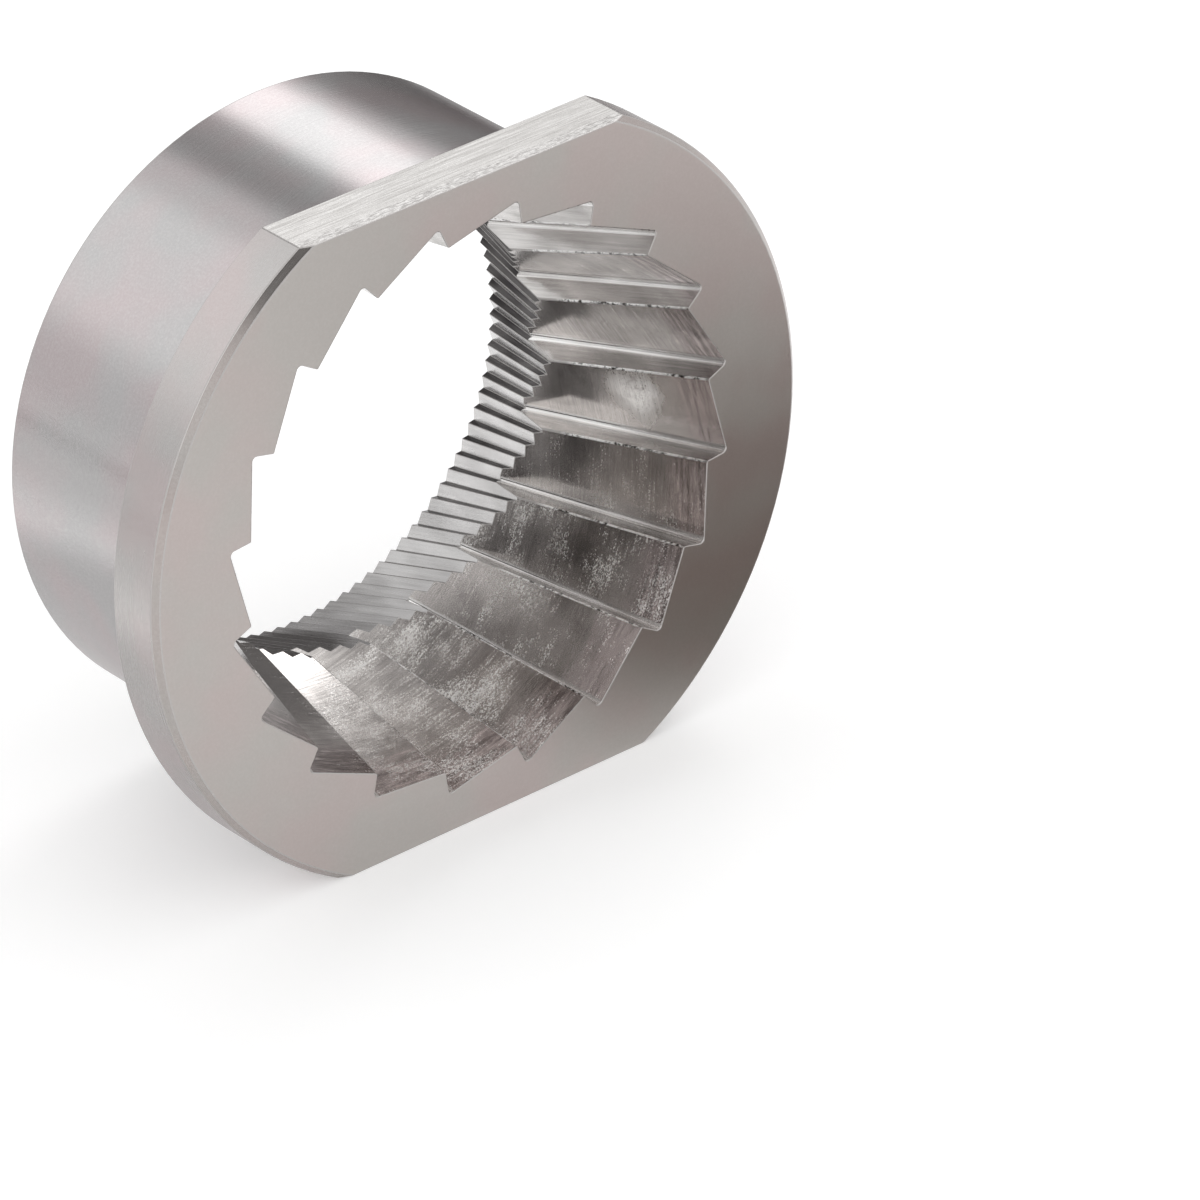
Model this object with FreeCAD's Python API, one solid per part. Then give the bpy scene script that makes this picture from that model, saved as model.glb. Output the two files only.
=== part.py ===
import FreeCAD, Part
import math
import os

os.makedirs("parts", exist_ok=True)

# Outer ring burr of a conical coffee grinder, cut from one blank of stainless steel.
# It stands on the lower of its two flats, as it would on a bench. The ring's axis runs along Y.
# Beans enter at the mouth, towards -Y, and grounds leave at the exit, towards +Y.
# The origin is on the axis, in the plane of the flange's seat. Sizes are in millimetres.

# Blank: a flange with two flats, and a plain spigot behind it
flange_radius = 29.0
flange_thickness = 4.65
flat_height = 25.2
rim_chamfer = 0.48
spigot_radius = 23.9
spigot_length = 18.85
spigot_edge_break = 0.2

# Bore: an hourglass, measured at the crests of the coarse teeth at the mouth
# and at the crests of the fine teeth from the throat to the exit
mouth_radius = 20.85
throat_radius = 16.75
throat_depth = 13.3
exit_radius = 19.52

# Coarse teeth, which crush the beans on their way to the throat
# Their crests would pass the throat a little outside those of the fine teeth
coarse_teeth = 20
coarse_throat_radius = 17.1
coarse_depth = 1.8
coarse_step_lean = 17.7
coarse_slant = 8.4
coarse_root_radius = 0.35
first_coarse_angle = 5.24

# Fine teeth, which grind from the throat to the exit, so many to each coarse tooth
fine_per_coarse = 5
fine_depth = 0.42
fine_step_lean = 40.0
fine_slant = 7.7
first_fine_angle = 3.05

# Turning leaves this much stock inside the crests, and the cutters clear it by the overrun
crest_stock = 0.25
coarse_overrun = 1.6
fine_overrun = 0.65
end_clearance = 1.0

mouth_y = -flange_thickness
throat_y = mouth_y + throat_depth
exit_y = spigot_length
coarse_pitch = 360.0 / coarse_teeth
fine_pitch = coarse_pitch / fine_per_coarse


def turned(vector, angle):
    """A vector turned about the ring's axis, from +X towards +Z."""
    return FreeCAD.Rotation(FreeCAD.Vector(0, -1, 0), angle).multVec(vector)


def crest_line(start_radius, start_y, end_radius, slant):
    """The crest of the tooth at angle 0: where it starts, and its direction per mm of Y."""
    run = throat_y - start_y
    sideways = -run * math.tan(math.radians(slant))
    start = FreeCAD.Vector(start_radius, start_y, 0)
    end = FreeCAD.Vector(math.sqrt(end_radius ** 2 - sideways ** 2), throat_y, sideways)
    return start, (end - start) / run


def gullet_cutter(crest, direction, pitch, depth, step_lean, root_radius, overrun, far_y):
    """The straight cutter that clears the gullet between the crest at angle 0 and the next one up.

    The gullet has a short step, which rises from the crest at angle 0, and a long face, which
    falls away from the next crest. It runs along the line in which these two planes meet.
    """
    next_crest = turned(crest, pitch)
    root = crest + FreeCAD.Vector(depth, 0, depth * math.tan(math.radians(step_lean)))
    step_normal = (crest - root).cross(direction)
    face_normal = (next_crest - root).cross(turned(direction, pitch))
    along = step_normal.cross(face_normal)
    along = along / along.y

    up_step = (crest - root).normalize()
    up_face = (next_crest - root).normalize()
    step_end = crest + up_step * overrun
    face_end = next_crest + up_face * overrun
    section = Part.Face(Part.makePolygon([step_end, root, face_end, step_end]))

    run = far_y - crest.y
    towards_far_end = math.copysign(1.0, run)
    start = root - along * (towards_far_end * end_clearance)
    section.translate(start - root)
    cutter = section.extrude(along * (run + 2 * towards_far_end * end_clearance))
    if root_radius > 0:
        root_edge = min(cutter.Edges, key=lambda edge: edge.distToShape(Part.Vertex(root))[0])
        cutter = cutter.makeFillet(root_radius, [root_edge])
    return cutter


def ring_of(cutter, count, first_angle):
    """Copies of a cutter spaced round the ring's axis."""
    copies = []
    for index in range(count):
        copy = cutter.copy()
        copy.rotate(FreeCAD.Vector(0, 0, 0), FreeCAD.Vector(0, -1, 0), first_angle + index * 360.0 / count)
        copies.append(copy)
    return copies


# Turned blank
profile = Part.makePolygon([
    FreeCAD.Vector(mouth_radius - crest_stock, mouth_y, 0),
    FreeCAD.Vector(flange_radius - rim_chamfer, mouth_y, 0),
    FreeCAD.Vector(flange_radius, mouth_y + rim_chamfer, 0),
    FreeCAD.Vector(flange_radius, 0, 0),
    FreeCAD.Vector(spigot_radius, 0, 0),
    FreeCAD.Vector(spigot_radius, exit_y - spigot_edge_break, 0),
    FreeCAD.Vector(spigot_radius - spigot_edge_break, exit_y, 0),
    FreeCAD.Vector(exit_radius - crest_stock, exit_y, 0),
    FreeCAD.Vector(throat_radius - crest_stock, throat_y, 0),
    FreeCAD.Vector(mouth_radius - crest_stock, mouth_y, 0),
])
ring = Part.Face(profile).revolve(FreeCAD.Vector(0, 0, 0), FreeCAD.Vector(0, 1, 0), 360)

# The two flats, milled across the flange
between_flats = Part.makeBox(
    2 * flange_radius + 2 * end_clearance,
    flange_thickness + spigot_length + 2 * end_clearance,
    2 * flat_height,
    FreeCAD.Vector(-flange_radius - end_clearance, mouth_y - end_clearance, -flat_height),
)
ring = ring.common(between_flats)

# Coarse gullets, cut from the mouth
coarse_crest, coarse_direction = crest_line(mouth_radius, mouth_y, coarse_throat_radius, coarse_slant)
coarse_cutter = gullet_cutter(
    coarse_crest, coarse_direction, coarse_pitch, coarse_depth, coarse_step_lean,
    coarse_root_radius, coarse_overrun, exit_y)
ring = ring.cut(ring_of(coarse_cutter, coarse_teeth, first_coarse_angle))

# Fine gullets, cut from the exit
fine_crest, fine_direction = crest_line(exit_radius, exit_y, throat_radius, fine_slant)
fine_cutter = gullet_cutter(
    fine_crest, fine_direction, fine_pitch, fine_depth, fine_step_lean,
    0.0, fine_overrun, mouth_y)
ring = ring.cut(ring_of(fine_cutter, coarse_teeth * fine_per_coarse, first_fine_angle))

ring_burr = ring.Solids[0]
ring_burr.exportStep("parts/ring_burr.step")
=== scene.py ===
import math
import bmesh
import bpy
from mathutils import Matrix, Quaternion, Vector


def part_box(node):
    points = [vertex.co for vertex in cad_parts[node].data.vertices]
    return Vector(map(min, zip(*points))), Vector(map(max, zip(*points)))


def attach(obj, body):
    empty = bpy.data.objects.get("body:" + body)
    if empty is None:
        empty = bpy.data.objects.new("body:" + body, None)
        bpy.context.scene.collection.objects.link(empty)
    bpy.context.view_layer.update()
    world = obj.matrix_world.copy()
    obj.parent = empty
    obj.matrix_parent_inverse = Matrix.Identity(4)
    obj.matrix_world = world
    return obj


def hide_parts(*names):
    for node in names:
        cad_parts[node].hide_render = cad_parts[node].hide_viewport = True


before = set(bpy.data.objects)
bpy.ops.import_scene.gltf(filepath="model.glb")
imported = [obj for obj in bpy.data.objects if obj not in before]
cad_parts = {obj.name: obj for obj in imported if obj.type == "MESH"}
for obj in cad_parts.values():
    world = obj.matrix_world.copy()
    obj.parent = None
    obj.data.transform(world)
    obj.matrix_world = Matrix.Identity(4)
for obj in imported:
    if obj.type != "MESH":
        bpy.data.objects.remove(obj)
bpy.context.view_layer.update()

# The ring burr
# One ring of hardened stainless steel, turned from bar, with two flats milled across its flange.
# Its slanted gullets are cut by straight passes of a form cutter, and its edges are broken by hand.
MM = 0.001
NEAR = 0.01 * MM
low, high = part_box("ring_burr")
front_y = low.y
seat_y = 0.0
flange_radius = high.x
flat_height = high.z
coarse_teeth = 20

# Its surfaces, each with the finish that its cut leaves
surfaces = (
    "front_face", "rim_chamfer", "rim", "flat", "seat", "spigot", "exit_face",
    "coarse_face", "coarse_step", "coarse_root", "fine_land", "fine_step", "broken_edge")
(FRONT, CHAMFER, RIM, FLAT, SEAT, SPIGOT, EXIT,
 COARSE_FACE, COARSE_STEP, COARSE_ROOT, FINE_LAND, FINE_STEP, EDGE) = range(len(surfaces))

ring = bpy.data.objects.new("ring_burr_machined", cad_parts["ring_burr"].data.copy())
ring.data.materials.clear()
for surface in surfaces:
    ring.data.materials.append(bpy.data.materials.new(surface + "_steel"))
bpy.context.collection.objects.link(ring)
bpy.ops.object.select_all(action="DESELECT")
ring.select_set(True)
bpy.context.view_layer.objects.active = ring
bpy.ops.object.mode_set(mode="EDIT")
bpy.ops.mesh.select_all(action="SELECT")
bpy.ops.mesh.remove_doubles(threshold=0.001 * MM)
bpy.ops.mesh.dissolve_limited(angle_limit=math.radians(0.3))

# A face's direction, place and area tell which surface it belongs to
square = 0.999
upright = 0.1
rim_zone = 0.6 * MM
least_outward = 0.4
least_land_inward = 0.78
least_face_area = 30 * MM ** 2
least_step_area = 8 * MM ** 2


def surface_of(face):
    """Which machined surface a face of the ring belongs to."""
    corners = [vert.co for vert in face.verts]
    centre = face.calc_center_median()
    outward = face.normal.dot(Vector((centre.x, 0, centre.z)).normalized())
    first_y = min(corner.y for corner in corners)
    reach = max(math.hypot(corner.x, corner.z) for corner in corners)
    if face.normal.y < -square and first_y < front_y + NEAR:
        return FRONT
    if face.normal.y > square:
        return SEAT if centre.y < seat_y + NEAR else EXIT
    if abs(face.normal.z) > square and abs(centre.z) > flat_height - NEAR:
        return FLAT
    if reach > flange_radius - rim_zone and centre.y < seat_y:
        return RIM if abs(face.normal.y) < upright else CHAMFER
    if outward > least_outward:
        return SPIGOT if abs(face.normal.y) < upright else EXIT
    if first_y < front_y + NEAR:
        if face.calc_area() > least_face_area:
            return COARSE_FACE
        return COARSE_STEP if face.calc_area() > least_step_area else COARSE_ROOT
    return FINE_LAND if outward < -least_land_inward else FINE_STEP


# The flat end faces get a border, so many mm wide, so that breaking their edges changes only that
mesh = bmesh.from_edit_mesh(ring.data)
for face in mesh.faces:
    face.material_index = surface_of(face)
border_widths = {FRONT: 0.35, SEAT: 0.2, EXIT: 0.06}
for surface, border in border_widths.items():
    plane = [face for face in mesh.faces if face.material_index == surface and abs(face.normal.y) > square]
    bmesh.ops.inset_region(mesh, faces=plane, thickness=border * MM, use_even_offset=True, use_boundary=True)

# Edges are broken a little: most along the coarse crests, least at the mouth and along the fine teeth
# The coarse roots are round as they are, so their edges are left alone. The widths are in mm
crest_break = 0.12
outer_break = 0.07
mouth_break = 0.045
fine_break = 0.035
least_edge_angle = math.radians(20)
break_weight = mesh.edges.layers.float.new("bevel_weight_edge")
for face in mesh.faces:
    face.material_index = surface_of(face)
for edge in mesh.edges:
    if len(edge.link_faces) != 2 or edge.calc_face_angle(0) < least_edge_angle:
        continue
    sides = {face.material_index for face in edge.link_faces}
    if sides & {FINE_LAND, FINE_STEP}:
        edge[break_weight] = fine_break / crest_break
    elif FRONT in sides and sides & {COARSE_FACE, COARSE_STEP}:
        edge[break_weight] = mouth_break / crest_break
    elif sides & {COARSE_FACE, COARSE_STEP}:
        edge[break_weight] = 0.0 if COARSE_ROOT in sides else 1.0
    elif sides != {COARSE_ROOT}:
        edge[break_weight] = outer_break / crest_break
bmesh.update_edit_mesh(ring.data)
bpy.ops.object.mode_set(mode="OBJECT")

breaking = ring.modifiers.new("broken edges", "BEVEL")
breaking.limit_method = "WEIGHT"
breaking.width = crest_break * MM
breaking.segments = 2
breaking.use_clamp_overlap = False
breaking.material = EDGE
breaking.miter_outer = "MITER_SHARP"
bpy.ops.object.modifier_apply(modifier=breaking.name)

# Cutter marks follow the gullets, so one map gives a point's place in mm across and along its gullet
# It is shifted from tooth to tooth, so that no two are alike. A second map runs from 0 to 1 across a face
tooth_shift = 40.0
least_width = 0.00001
gullet_map = ring.data.uv_layers.new(name="gullets")
width_map = ring.data.uv_layers.new(name="widths")
for polygon in ring.data.polygons:
    corners = [ring.data.vertices[index].co / MM for index in polygon.vertices]
    outline = [corners[index] - corners[index - 1] for index in range(len(corners))]
    along = max(outline, key=lambda side: side.length).normalized()
    if along.y < 0:
        along = -along
    if polygon.material_index == COARSE_FACE:
        along = Vector((0, 1, 0))
    across = polygon.normal.cross(along).normalized()
    places = [corner.dot(across) for corner in corners]
    width = max(max(places) - min(places), least_width)
    tooth = round(math.atan2(polygon.center.z, polygon.center.x) / math.tau * coarse_teeth)
    for loop, corner, place in zip(polygon.loop_indices, corners, places):
        gullet_map.data[loop].uv = (place + tooth_shift * tooth, corner.dot(along))
        width_map.data[loop].uv = ((place - min(places)) / width, corner.y)
    polygon.use_smooth = polygon.material_index in (CHAMFER, RIM, SPIGOT, COARSE_ROOT)


# Turned surfaces: fine rings left by the tool, over a satin steel with faint warm and cool clouds
def node(tree, kind, sockets, **options):
    """A node with its options set, and its inputs set or linked, by name or number."""
    made = tree.nodes.new(kind)
    for option, value in options.items():
        setattr(made, option, value)
    for name, value in sockets.items():
        if isinstance(value, bpy.types.NodeSocket):
            tree.links.new(value, made.inputs[name])
        else:
            made.inputs[name].default_value = value
    return made


def join(tree, operation, values):
    """Values joined one after another by an operation."""
    joined = values[0]
    for value in values[1:]:
        joined = node(tree, "ShaderNodeMath", {0: joined, 1: value}, operation=operation).outputs[0]
    return joined


def add(tree, *values):
    """Values added up."""
    return join(tree, "ADD", values)


def times(tree, *values):
    """Values multiplied."""
    return join(tree, "MULTIPLY", values)


def vector(tree, operation, sockets):
    """Vectors joined by an operation."""
    return node(tree, "ShaderNodeVectorMath", sockets, operation=operation).outputs[0]


def length_of(tree, operation, sockets):
    """The length of a vector, or the distance between two."""
    return node(tree, "ShaderNodeVectorMath", sockets, operation=operation).outputs["Value"]


def in_mm(tree):
    """The place of a point of the ring, in mm."""
    place = node(tree, "ShaderNodeTexCoord", {}).outputs["Object"]
    return vector(tree, "MULTIPLY", {0: place, 1: (1 / MM, 1 / MM, 1 / MM)})


def part_of(tree, place, axis):
    """One coordinate of a place."""
    return node(tree, "ShaderNodeSeparateXYZ", {0: place}).outputs[axis]


def from_axis(tree, place):
    """How far a place is from the ring's axis."""
    return length_of(tree, "LENGTH", {0: vector(tree, "MULTIPLY", {0: place, 1: (1, 0, 1)})})


def grain(tree, place, per_mm, detail=2.0, roughness=0.5):
    """Noise with so many grains to a mm along each axis, from 0 to 1."""
    scaled = vector(tree, "MULTIPLY", {0: place, 1: per_mm})
    sockets = {"Vector": scaled, "Scale": 1.0, "Detail": detail, "Roughness": roughness}
    return node(tree, "ShaderNodeTexNoise", sockets).outputs["Fac"]


def lines(tree, distance, per_mm):
    """Noise that changes along one distance only, as a tool's marks do."""
    sockets = {"W": times(tree, distance, per_mm), "Scale": 1.0, "Detail": 3.0}
    return node(tree, "ShaderNodeTexNoise", sockets, noise_dimensions="1D").outputs["Fac"]


def spread(tree, value, start, end, first=0.0, last=1.0):
    """A value's range from start to end, stretched to run from first to last."""
    sockets = {"Value": value, "From Min": start, "From Max": end, "To Min": first, "To Max": last}
    return node(tree, "ShaderNodeMapRange", sockets).outputs[0]


def blend(tree, factor, first, second):
    """A colour between two colours."""
    return node(tree, "ShaderNodeMix", {0: factor, 6: first, 7: second}, data_type="RGBA").outputs[2]


def steel(surface):
    """The node tree and shader of one surface, set to bare steel."""
    material = ring.data.materials[surface]
    material.use_nodes = True
    shader = material.node_tree.nodes["Principled BSDF"]
    shader.inputs["Metallic"].default_value = 1.0
    return material.node_tree, shader


def finish_with(tree, shader, colour, roughness, height, normal=None):
    """Joins a finish's colour, roughness and relief, whose height is in mm, to its shader."""
    relief = node(tree, "ShaderNodeBump", {"Height": height, "Distance": MM, "Strength": 1.0})
    if normal:
        tree.links.new(normal, relief.inputs["Normal"])
    tree.links.new(colour, shader.inputs["Base Color"])
    tree.links.new(roughness, shader.inputs["Roughness"])
    tree.links.new(relief.outputs[0], shader.inputs["Normal"])


# Near-white colour for the painted glints of turned steel
painted_glint_speck = (0.85, 0.84, 0.83, 1)


def turned(surface, faces_outwards, warm, cool, rough, ring_depth, grain_depth, sparkle):
    """A turned surface: its rings are stacked along the axis if it faces outwards, else round the axis."""
    tree, shader = steel(surface)
    place = in_mm(tree)
    rings = lines(tree, part_of(tree, place, "Y") if faces_outwards else from_axis(tree, place), 6.0)
    clouds = grain(tree, place, (0.13, 0.13, 0.13))
    specks = grain(tree, place, (5.5, 5.5, 5.5), 2.0, 0.6)
    tinted = blend(tree, spread(tree, clouds, 0.4, 0.6), warm, cool)
    # Bright specks in the colour are painted glints; the specks' relief is the real grain
    colour = blend(tree, spread(tree, specks, 0.4, 0.8, 0.0, sparkle), tinted, painted_glint_speck)
    roughness = add(
        tree, spread(tree, clouds, 0.3, 0.7, rough, rough + 0.05), spread(tree, rings, 0.3, 0.7, -0.02, 0.03))
    height = add(tree, times(tree, rings, ring_depth), times(tree, specks, grain_depth))
    finish_with(tree, shader, colour, roughness, height)


# The front face and the chamfer get darker colours than the rim and the spigot, though all are one turned
# steel: painted darker reflections
turned(
    FRONT, faces_outwards=False, warm=(0.47, 0.415, 0.40, 1), cool=(0.455, 0.43, 0.41, 1),
    rough=0.30, ring_depth=0.0006, grain_depth=0.0005, sparkle=0.06)
turned(
    CHAMFER, faces_outwards=True, warm=(0.40, 0.355, 0.34, 1), cool=(0.38, 0.36, 0.345, 1),
    rough=0.22, ring_depth=0.001, grain_depth=0.001, sparkle=0.1)
turned(
    RIM, faces_outwards=True, warm=(0.60, 0.535, 0.53, 1), cool=(0.56, 0.54, 0.53, 1),
    rough=0.22, ring_depth=0.0004, grain_depth=0.001, sparkle=0.15)
turned(
    SPIGOT, faces_outwards=True, warm=(0.60, 0.535, 0.54, 1), cool=(0.56, 0.55, 0.55, 1),
    rough=0.155, ring_depth=0.0003, grain_depth=0.0026, sparkle=0.25)
for end_face in (SEAT, EXIT):
    turned(
        end_face, faces_outwards=False, warm=(0.47, 0.42, 0.41, 1), cool=(0.455, 0.43, 0.42, 1),
        rough=0.3, ring_depth=0.002, grain_depth=0.002, sparkle=0.1)

# Milled flats: brushed along the cut, with a finer strip by the front edge where the cutter left last
strip_width = 1.05
strip_fade = 0.1
brushed_dark, brushed_light = (0.46, 0.445, 0.43, 1), (0.70, 0.685, 0.67, 1)
strip_dark, strip_light = (0.38, 0.365, 0.355, 1), (0.74, 0.725, 0.71, 1)
brushed_depth = 0.010
strip_depth = 0.003


def milled_flat():
    """The finish of the two flats."""
    tree, shader = steel(FLAT)
    place = in_mm(tree)
    strip_end = front_y / MM + strip_width
    strip = spread(tree, part_of(tree, place, "Y"), strip_end + strip_fade, strip_end - strip_fade)
    brushed = grain(tree, place, (0.2, 8.0, 8.0), 3.0, 0.7)
    hatched = grain(tree, place, (1.6, 7.0, 1.0), 3.0, 0.7)
    specks = grain(tree, place, (6.0, 6.0, 6.0), 2.0, 0.6)
    plain = blend(tree, spread(tree, brushed, 0.36, 0.64), brushed_dark, brushed_light)
    fine = blend(tree, spread(tree, hatched, 0.38, 0.62), strip_dark, strip_light)
    colour = blend(tree, strip, plain, fine)
    roughness = spread(tree, specks, 0.3, 0.7, 0.24, 0.36)
    height = add(
        tree, times(tree, brushed, brushed_depth), times(tree, add(tree, hatched, specks), strip_depth))
    finish_with(tree, shader, colour, roughness, height)


milled_flat()

# Coarse gullets: a satin cut with scallops across it, dragged near the mouth, with torn grain whose sparkle
# is painted as bright glints
# The grain is torn most in the lower gullets and least in two clean ones
# The lower left ones are darker at their throat end, and a painted highlight shines in a side one
satin_dark, satin_light = (0.32, 0.30, 0.29, 1), (0.88, 0.84, 0.815, 1)
dragged_dark, dragged_light = (0.26, 0.225, 0.22, 1), (0.84, 0.76, 0.75, 1)
torn_glint_white = (0.98, 0.97, 0.95, 1)
# A darker colour, laid at the lower left by the throat
darkened_steel = (0.12, 0.11, 0.105, 1)
clean_teeth = (-3, 0)
highlight_place = (19.7, 1.9, -1.4)
gullet_rough = 0.15
gullet_depth = 0.002


def map_of(tree, name):
    """A point's place on one of the ring's maps."""
    return node(tree, "ShaderNodeUVMap", {}, uv_map=name).outputs[0]


def facets(tree, place, per_mm):
    """Three random values, from 0 to 1, for each small facet of torn metal."""
    scaled = vector(tree, "MULTIPLY", {0: place, 1: per_mm})
    return node(tree, "ShaderNodeTexVoronoi", {"Vector": scaled, "Scale": 1.0}).outputs["Color"]


def cleanly_cut(tree, mapped):
    """1 on the clean gullets, otherwise 0."""
    shifted = part_of(tree, mapped, "X")
    clean = 0.0
    for tooth in clean_teeth:
        sockets = {0: shifted, 1: tooth_shift * tooth, 2: tooth_shift / 2}
        clean = add(tree, node(tree, "ShaderNodeMath", sockets, operation="COMPARE").outputs[0], clean)
    return clean


def cut_gullet():
    """The finish of the coarse gullets' long faces."""
    tree, shader = steel(COARSE_FACE)
    mapped = map_of(tree, "gullets")
    across = part_of(tree, map_of(tree, "widths"), "X")
    place = in_mm(tree)
    side = part_of(tree, place, "X")
    along_y = part_of(tree, place, "Y")
    lower = spread(tree, part_of(tree, place, "Z"), 2.0, -19.0)
    clouds = grain(tree, mapped, (0.16, 0.20, 1.0))
    scallops = grain(tree, mapped, (0.35, 6.0, 1.0), 2.0, 0.6)
    curtain = grain(tree, mapped, (0.30, 2.6, 1.0), 3.0, 0.7)
    patches = grain(tree, mapped, (0.22, 0.40, 1.0), 4.0, 0.6)
    chips = facets(tree, mapped, (10.0, 17.0, 1.0))
    clean = cleanly_cut(tree, mapped)

    # The metal is torn in patches, most in the lower gullets and least at the far left
    torn = times(
        tree, spread(tree, patches, 0.36, 0.70), spread(tree, lower, 0.1, 0.9, 0.15, 1.0),
        spread(tree, side, -12.5, -9.0, 0.2, 1.0))

    # Satin, which is dragged in ragged streaks near the mouth and darker at the lower left by the throat
    calm = add(tree, times(tree, clouds, 0.6), times(tree, scallops, 0.4))
    # Painted shade: each face is a little darker towards one long edge, under the crest; it is also darker at
    # the far left and lighter in the clean gullets
    lean = add(
        tree, spread(tree, across, 0.0, 1.0, -0.05, 0.05), spread(tree, side, -12.0, -9.0, -0.12, 0.0),
        times(tree, clean, 0.13))
    satin_tone = spread(tree, add(tree, calm, lean, times(tree, torn, 0.20)), 0.34, 0.72)
    satin = blend(tree, satin_tone, satin_dark, satin_light)
    dragged = blend(tree, spread(tree, add(tree, curtain, lean), 0.36, 0.66), dragged_dark, dragged_light)
    ragged = join(tree, "SUBTRACT", (times(tree, curtain, 3.0), along_y))
    near_mouth = spread(tree, ragged, -front_y / MM - 2.2, -front_y / MM - 0.6)
    darkened = times(tree, spread(tree, side, -10.5, -8.5, 1.0, 0.0), spread(tree, along_y, 0.0, 6.0, 0.0, 0.8))
    plain = blend(tree, darkened, blend(tree, near_mouth, satin, dragged), darkened_steel)

    # Facets sparkle where the metal is torn, in painted glints, and a painted highlight lies all over one
    # patch
    from_highlight = length_of(tree, "DISTANCE", {0: place, 1: highlight_place})
    painted_highlight = times(
        tree, spread(tree, add(tree, from_highlight, times(tree, patches, 4.0)), 4.7, 2.5),
        spread(tree, add(tree, scallops, part_of(tree, chips, "Y")), 0.3, 1.0))
    less_in_clean = join(tree, "SUBTRACT", (scallops, times(tree, clean, 0.2)))
    picked = add(tree, part_of(tree, chips, "X"), torn, less_in_clean)
    sparkle = join(tree, "MAXIMUM", (spread(tree, picked, 1.58, 2.03, 0.0, 0.72), painted_highlight))
    # The glints and the highlight are painted into the colour as near-white steel; the facets' tilt and added
    # roughness are relief
    colour = blend(tree, sparkle, plain, torn_glint_white)
    roughness = add(
        tree, spread(tree, clouds, 0.35, 0.65, gullet_rough, gullet_rough + 0.08),
        times(tree, sparkle, 0.3), times(tree, painted_highlight, 0.6))
    height = times(tree, add(tree, scallops, calm), gullet_depth)

    # Each sparkling facet is tilted its own way
    centred = vector(tree, "SUBTRACT", {0: chips, 1: (0.5, 0.5, 0.5)})
    leaning = vector(tree, "SCALE", {0: centred, "Scale": times(tree, sparkle, 0.35)})
    upward = node(tree, "ShaderNodeNewGeometry", {}).outputs["Normal"]
    tilted = vector(tree, "ADD", {0: upward, 1: leaning})
    finish_with(tree, shader, colour, roughness, height, tilted)


cut_gullet()

# Steps, roots and fine gullets: clean cuts, with the cutter's lines drawn along them
# The fine lands are darker at the lower left, as the coarse gullets are
darkened_place = (-6.0, 14.2, -17.2)


def drawn_cut(surface, dark, light, rough, depth, darkened_in_part=False):
    """The finish of a surface whose lines run along its gullet."""
    tree, shader = steel(surface)
    place = in_mm(tree)
    drawn = grain(tree, map_of(tree, "gullets"), (4.0, 0.12, 1.0), 4.0, 0.7)
    tooth_tone = grain(tree, place, (0.5, 0.15, 0.5), 1.0)
    tone = add(tree, times(tree, drawn, 0.45), times(tree, tooth_tone, 0.55))
    colour = blend(tree, spread(tree, tone, 0.38, 0.62), dark, light)
    if darkened_in_part:
        darkened = spread(tree, length_of(tree, "DISTANCE", {0: place, 1: darkened_place}), 6.4, 4.8, 0.0, 0.8)
        colour = blend(tree, darkened, colour, darkened_steel)
    roughness = spread(tree, drawn, 0.3, 0.7, rough, rough + 0.1)
    finish_with(tree, shader, colour, roughness, times(tree, drawn, depth))


drawn_cut(COARSE_STEP, dark=(0.50, 0.485, 0.47, 1), light=(0.80, 0.78, 0.765, 1), rough=0.16, depth=0.003)
drawn_cut(COARSE_ROOT, dark=(0.72, 0.70, 0.685, 1), light=(0.98, 0.97, 0.96, 1), rough=0.18, depth=0.002)
drawn_cut(
    FINE_LAND, dark=(0.52, 0.51, 0.505, 1), light=(0.72, 0.71, 0.705, 1), rough=0.2, depth=0.003,
    darkened_in_part=True)
# The fine steps' near-black colour is painted shade
drawn_cut(FINE_STEP, dark=(0.07, 0.065, 0.065, 1), light=(0.32, 0.31, 0.305, 1), rough=0.12, depth=0.002)

# Broken edges: bright metal, with a painted highlight along the coarse crests that torn crumbs of burr,
# painted dark, break into dotted glints
# Those lie within a radius, before the throat and after the mouth, in mm, each fading in over its range
plain_edge = (0.46, 0.44, 0.43, 1)
# Near-white colour for the painted highlight along the crests
painted_crest_highlight = (0.98, 0.97, 0.96, 1)
dark_burr_between_glints = (0.07, 0.065, 0.06, 1)
crumb_depth = 0.01
crests_within = (22.2, 21.6)
crests_before = (7.5, 6.5)
crests_after = (front_y / MM + 0.1, front_y / MM + 0.4)


def burred_edge():
    """The finish of every broken edge."""
    tree, shader = steel(EDGE)
    place = in_mm(tree)
    along_y = part_of(tree, place, "Y")
    on_crests = times(
        tree, spread(tree, from_axis(tree, place), *crests_within), spread(tree, along_y, *crests_before),
        spread(tree, along_y, *crests_after))
    crumbs = grain(tree, place, (2.3, 2.3, 2.3), 4.0, 0.8)
    patches = spread(tree, grain(tree, place, (0.35, 0.35, 0.35)), 0.36, 0.52)
    dark_here = times(tree, spread(tree, crumbs, 0.52, 0.46), patches, on_crests)
    # The painted highlight on the crests, with the dark crumbs laid between its glints
    bright = blend(tree, on_crests, plain_edge, painted_crest_highlight)
    colour = blend(tree, dark_here, bright, dark_burr_between_glints)
    roughness = spread(tree, crumbs, 0.3, 0.7, 0.22, 0.42)
    finish_with(tree, shader, colour, roughness, times(tree, crumbs, crumb_depth))


burred_edge()

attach(ring, "root")
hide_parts("ring_burr")

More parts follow.
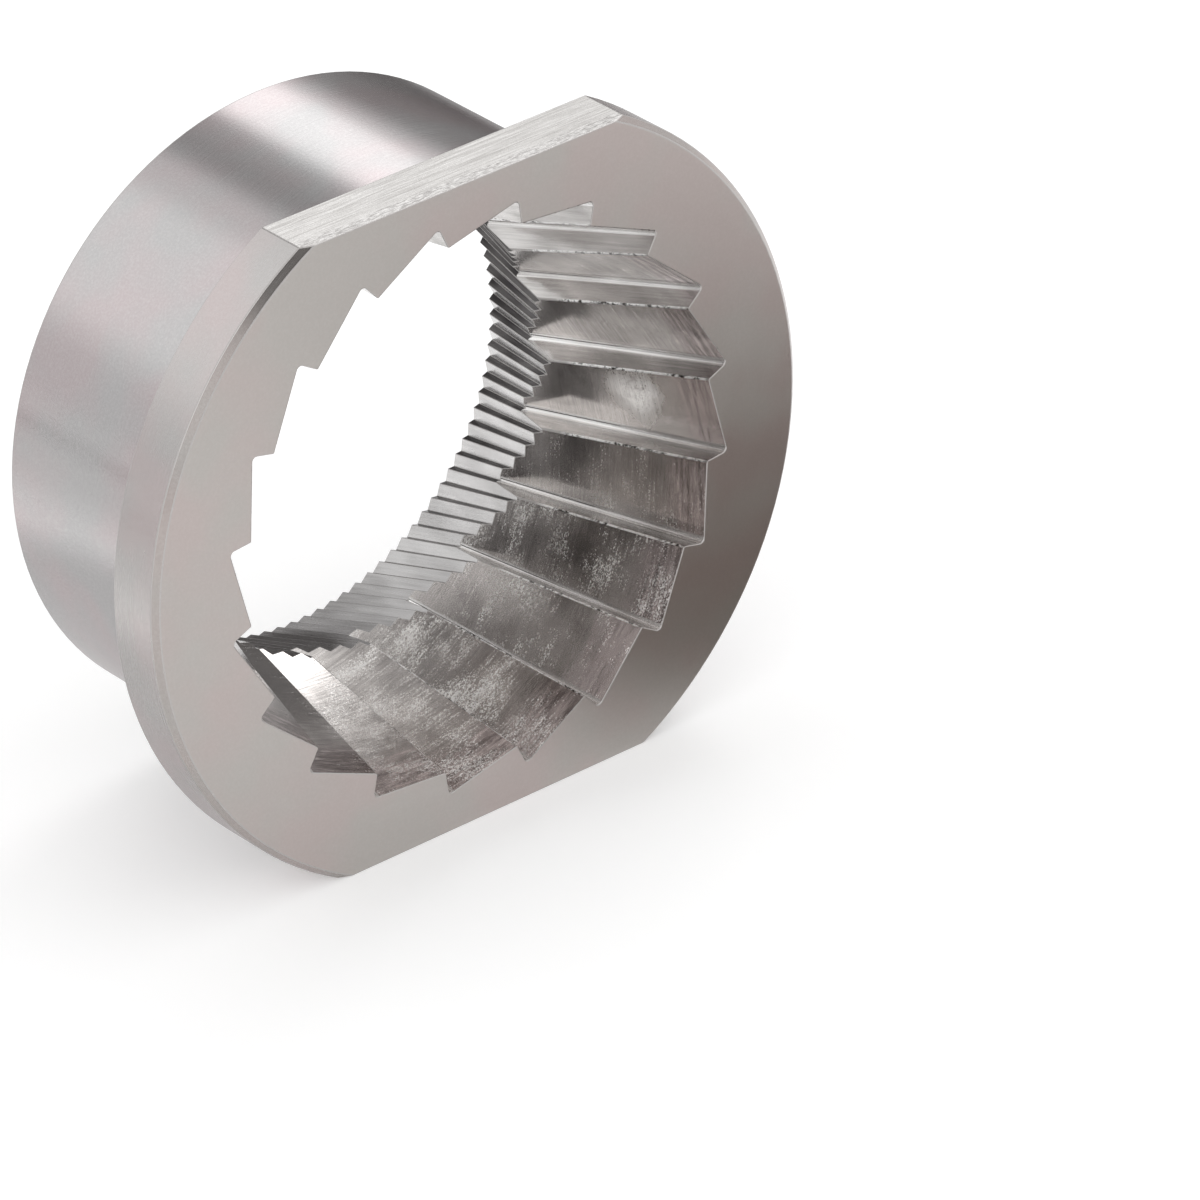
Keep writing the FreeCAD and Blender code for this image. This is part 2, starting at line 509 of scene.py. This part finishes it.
# The table
# A plain white table, slightly glossy, which the burr stands on by its lower flat.
# It glows a little towards the eye and in the steel, so that it looks white and keeps the burr's shadow.
table_size = 4.0
table_white = (0.92, 0.92, 0.92, 1)
table_glow = 0.2
bpy.ops.mesh.primitive_plane_add(size=table_size, location=(0, 0, -flat_height))
table = bpy.context.object
table.name = "white_table"
paint = bpy.data.materials.new("white_table_paint")
paint.use_nodes = True
paint_shader = paint.node_tree.nodes["Principled BSDF"]
paint_shader.inputs["Base Color"].default_value = table_white
paint_shader.inputs["Roughness"].default_value = 0.45
paint_shader.inputs["Specular IOR Level"].default_value = 0.2
paint_shader.inputs["Emission Color"].default_value = (1, 1, 1, 1)


def seen_or_reflected(tree):
    """1 for what the camera sees, also in steel and through glass, and 0 for what only gives light."""
    rays = node(tree, "ShaderNodeLightPath", {}).outputs
    return join(tree, "MAXIMUM", (rays["Is Camera Ray"], rays["Is Glossy Ray"], rays["Is Transmission Ray"]))


glow = times(paint.node_tree, seen_or_reflected(paint.node_tree), table_glow)
paint.node_tree.links.new(glow, paint_shader.inputs["Emission Strength"])
table.data.materials.append(paint)

# The light
# A white room with a soft window behind the burr, one at its right and one at its left.
# Soft-edged dark patches stand for the darker parts of the room, which only the steel reflects.
room_light = 0.92
room_white = 1.0
world = bpy.context.scene.world or bpy.data.worlds.new("white room")
bpy.context.scene.world = world
world.use_nodes = True
room = world.node_tree
room.nodes.clear()
fill = node(room, "ShaderNodeBackground", {"Color": (1, 1, 1, 1), "Strength": room_light}).outputs[0]
white = node(room, "ShaderNodeBackground", {"Color": (1, 1, 1, 1), "Strength": room_white}).outputs[0]
walls = node(room, "ShaderNodeMixShader", {0: seen_or_reflected(room), 1: fill, 2: white}).outputs[0]
node(room, "ShaderNodeOutputWorld", {0: walls})


def faced(thing, place, aim):
    """Puts a lamp or a patch at a place, turned to face a point."""
    thing.location = place
    thing.rotation_euler = (Vector(aim) - Vector(place)).to_track_quat("-Z", "Y").to_euler()


window_distance = 0.6


def soft_light(name, towards, size, power):
    """A square soft light, in a direction from the burr."""
    lamp = bpy.data.lights.new(name, "AREA")
    lamp.size = size
    lamp.energy = power
    holder = bpy.data.objects.new(name, lamp)
    faced(holder, Vector(towards).normalized() * window_distance, (0, 0, 0))
    bpy.context.collection.objects.link(holder)


soft_light("window_behind", towards=(0.455, 0.72, 0.525), size=0.15, power=0.043)
soft_light("window_right", towards=(0.62, 0.31, 0.72), size=0.2, power=0.3)
soft_light("window_left", towards=(-0.8, -0.3, 0.6), size=0.5, power=0.35)


solid_part = 0.45


def shade(name, place, aim, size, tone, cover, turn=0.0, stops_light=False):
    """A patch, placed and sized in mm, which fades to nothing from its solid part to its edge."""
    bpy.ops.mesh.primitive_plane_add(size=2)
    patch = bpy.context.object
    patch.name = name
    patch.scale = (size[0] / 2 * MM, size[1] / 2 * MM, 1)
    faced(patch, Vector(place) * MM, Vector(aim) * MM)
    patch.rotation_euler.rotate_axis("Z", math.radians(turn))
    cloth = bpy.data.materials.new(name + "_cloth")
    cloth.use_nodes = True
    tree = cloth.node_tree
    tree.nodes.clear()
    reach = length_of(tree, "LENGTH", {0: node(tree, "ShaderNodeTexCoord", {}).outputs["Object"]})
    sockets = {"Value": reach, "From Min": 1.0, "From Max": solid_part, "To Max": cover}
    covered = node(tree, "ShaderNodeMapRange", sockets, interpolation_type="SMOOTHSTEP").outputs[0]
    clear = node(tree, "ShaderNodeBsdfTransparent", {}).outputs[0]
    dark = node(tree, "ShaderNodeEmission", {"Color": tone, "Strength": 1.0}).outputs[0]
    mixed = node(tree, "ShaderNodeMixShader", {0: covered, 1: clear, 2: dark}).outputs[0]
    node(tree, "ShaderNodeOutputMaterial", {"Surface": mixed})
    patch.data.materials.append(cloth)
    patch.visible_camera = False
    patch.visible_diffuse = False
    patch.visible_shadow = stops_light


# Behind the burr, where the spigot and the fine teeth look
# The two high ones also stop the room's own light, which would pass them on its way to the steel
shade(
    "shade_back_right", place=(105, 113, 25), aim=(8, 11, 12), size=(150, 125),
    tone=(0.14, 0.13, 0.13, 1), cover=0.85)
shade(
    "shade_behind", place=(28, 68, 0), aim=(8, 14, -8), size=(124, 70),
    tone=(0.06, 0.05, 0.05, 1), cover=0.72)
shade(
    "shade_back_high", place=(88, 336, 317), aim=(-6, 12, 23), size=(180, 500),
    tone=(0.03, 0.03, 0.03, 1), cover=0.55, stops_light=True)
shade(
    "shade_back_top", place=(12, 340, 336), aim=(-9, 12, 22), size=(230, 500),
    tone=(0.03, 0.03, 0.03, 1), cover=0.26, stops_light=True)

# At the left and on the table, where the spigot's lower half looks
shade(
    "shade_left", place=(-150, 150, 0), aim=(-23, 12, 6), size=(220, 210),
    tone=(0.25, 0.24, 0.24, 1), cover=0.4)
shade(
    "shade_floor_far", place=(-125, 130, -24.8), aim=(-125, 130, 0), size=(310, 280),
    tone=(0.3, 0.29, 0.29, 1), cover=0.42)
shade(
    "shade_floor_near", place=(-26, 24, -25), aim=(-26, 24, 0), size=(80, 70),
    tone=(0.3, 0.29, 0.29, 1), cover=0.5)

# In front of the burr, where the chamfer and the front face look
shade(
    "shade_front_high", place=(-90, -280, 290), aim=(-15, -4, 24), size=(300, 240),
    tone=(0.05, 0.04, 0.04, 1), cover=1.0)
shade(
    "shade_front_near", place=(40, -27, -25), aim=(40, -27, 0), size=(84, 46),
    tone=(0.12, 0.09, 0.07, 1), cover=0.9, turn=32)
shade(
    "shade_front_far", place=(60, -56, -24.9), aim=(60, -56, 0), size=(70, 70),
    tone=(0.2, 0.17, 0.15, 1), cover=0.5)

# The camera
# It looks down on the mouth of the burr from the left, through a long lens.
# It is turned a little about its line of sight.
azimuth = math.radians(38.3)
elevation = math.radians(29.8)
roll = math.radians(-2.6)
distance = 717.8 * MM
target = Vector((18.02, 5.5, -19.36)) * MM
level = math.cos(elevation)
back = Vector((-math.sin(azimuth) * level, -math.cos(azimuth) * level, math.sin(elevation)))
lens = bpy.data.cameras.new("camera")
lens.sensor_width = 36.0
lens.lens = 295.5
camera = bpy.data.objects.new("camera", lens)
camera.location = target + back * distance
camera.rotation_mode = "QUATERNION"
camera.rotation_quaternion = back.to_track_quat("Z", "Y") @ Quaternion((0, 0, 1), roll)
bpy.context.collection.objects.link(camera)
bpy.context.scene.camera = camera
bpy.context.scene.view_settings.view_transform = "Standard"
